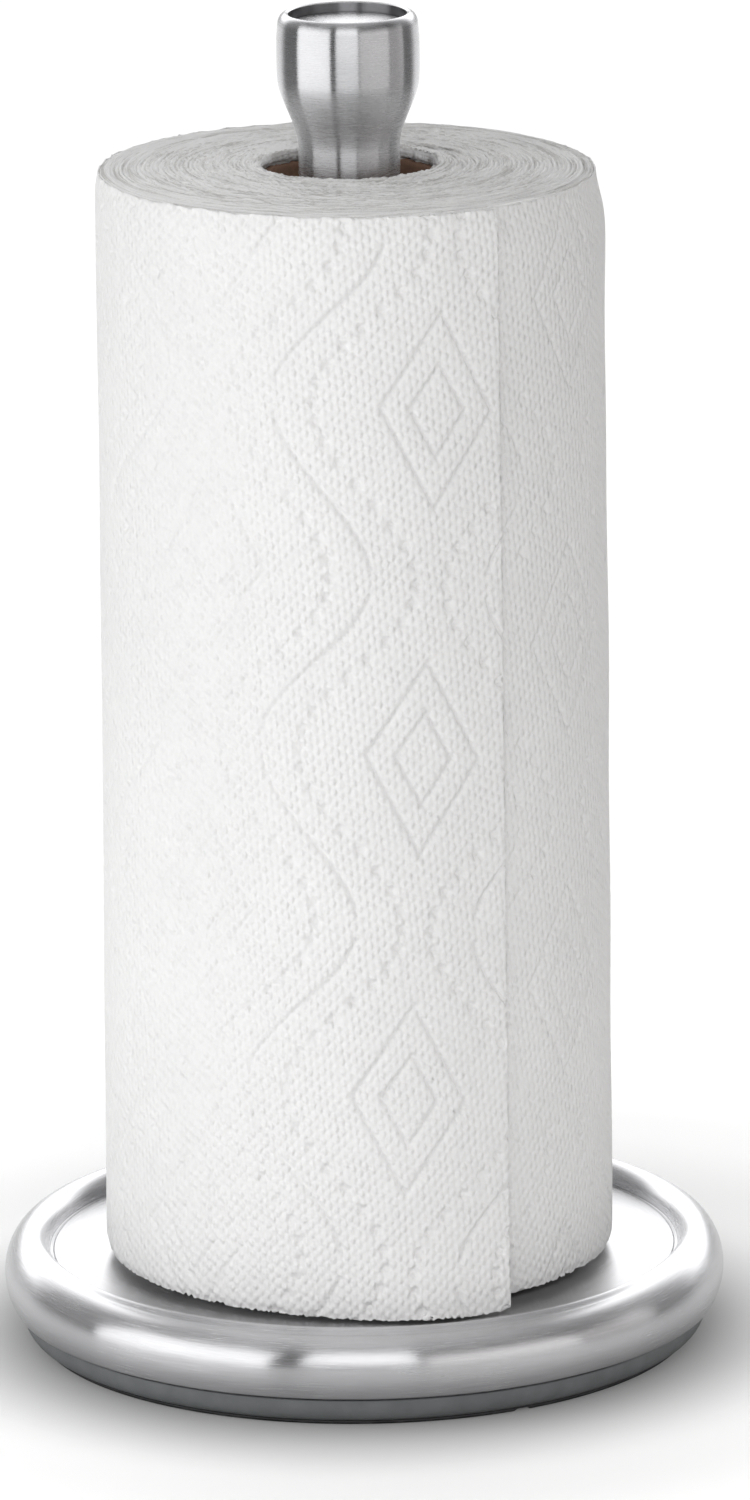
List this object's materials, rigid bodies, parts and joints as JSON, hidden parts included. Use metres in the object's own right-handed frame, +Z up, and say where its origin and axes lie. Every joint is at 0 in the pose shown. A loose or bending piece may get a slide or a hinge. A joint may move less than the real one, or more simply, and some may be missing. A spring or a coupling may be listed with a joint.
{
  "type": "paper towel holder",
  "caption": "Counter-top paper towel holder: weighted steel base with a raised rim, hollow post with a flared knob, and a towel roll that turns on a hub and lifts off over the post.",
  "frame": {"origin": "on the table under the centre of the base, on the axis of the post", "axes": "+Z up along the post; -Y is the front; +X is to the right seen from the front"},
  "size_m": [0.1844, 0.1844, 0.3417],
  "materials": {
    "brushed_stainless": "satin",
    "brushed_cap": "satin",
    "plated_steel": "satin",
    "black_iron": "matte",
    "grey_pan_plastic": "matte",
    "foot_rubber": "matte",
    "black_plastic": "matte",
    "white_plastic": "matte",
    "grip_rubber": "matte",
    "felt": "matte",
    "core_cardboard": "matte",
    "towel_tissue": "matte"
  },
  "bodies": {
    "base": {"base_cover": "brushed_stainless", "base_weight": "black_iron", "bottom_pan": "grey_pan_plastic", "foot_ring": "foot_rubber", "pan_screw_1": "plated_steel", "pan_screw_2": "plated_steel", "pan_screw_3": "plated_steel", "pan_screw_4": "plated_steel", "post_tube": "brushed_stainless", "knob_shell": "brushed_stainless", "knob_cap_disc": "brushed_cap", "knob_threaded_insert": "plated_steel", "post_collar": "black_plastic", "tie_rod": "plated_steel", "tie_rod_washer": "plated_steel", "tie_rod_nut": "plated_steel", "friction_disc": "felt", "wave_washer": "plated_steel", "retaining_clip": "plated_steel"},
    "spindle": {"spindle_hub": "white_plastic", "core_grip_sleeve": "grip_rubber", "hub_bushing_lower": "black_plastic", "hub_bushing_upper": "black_plastic"},
    "towel": {"core_tube": "core_cardboard", "wound_towel": "towel_tissue", "last_wrap": "towel_tissue"}
  },
  "joints": [
    {"name": "hub_spin", "type": "hinge", "parent": "base", "child": "spindle", "pos_m": [0, 0, 0.0265], "axis": [0, 0, 1], "continuous": true},
    {"name": "roll_lift", "type": "slide", "parent": "spindle", "child": "towel", "axis": [0, 0, 1], "range_m": [0, 0.33]}
  ]
}
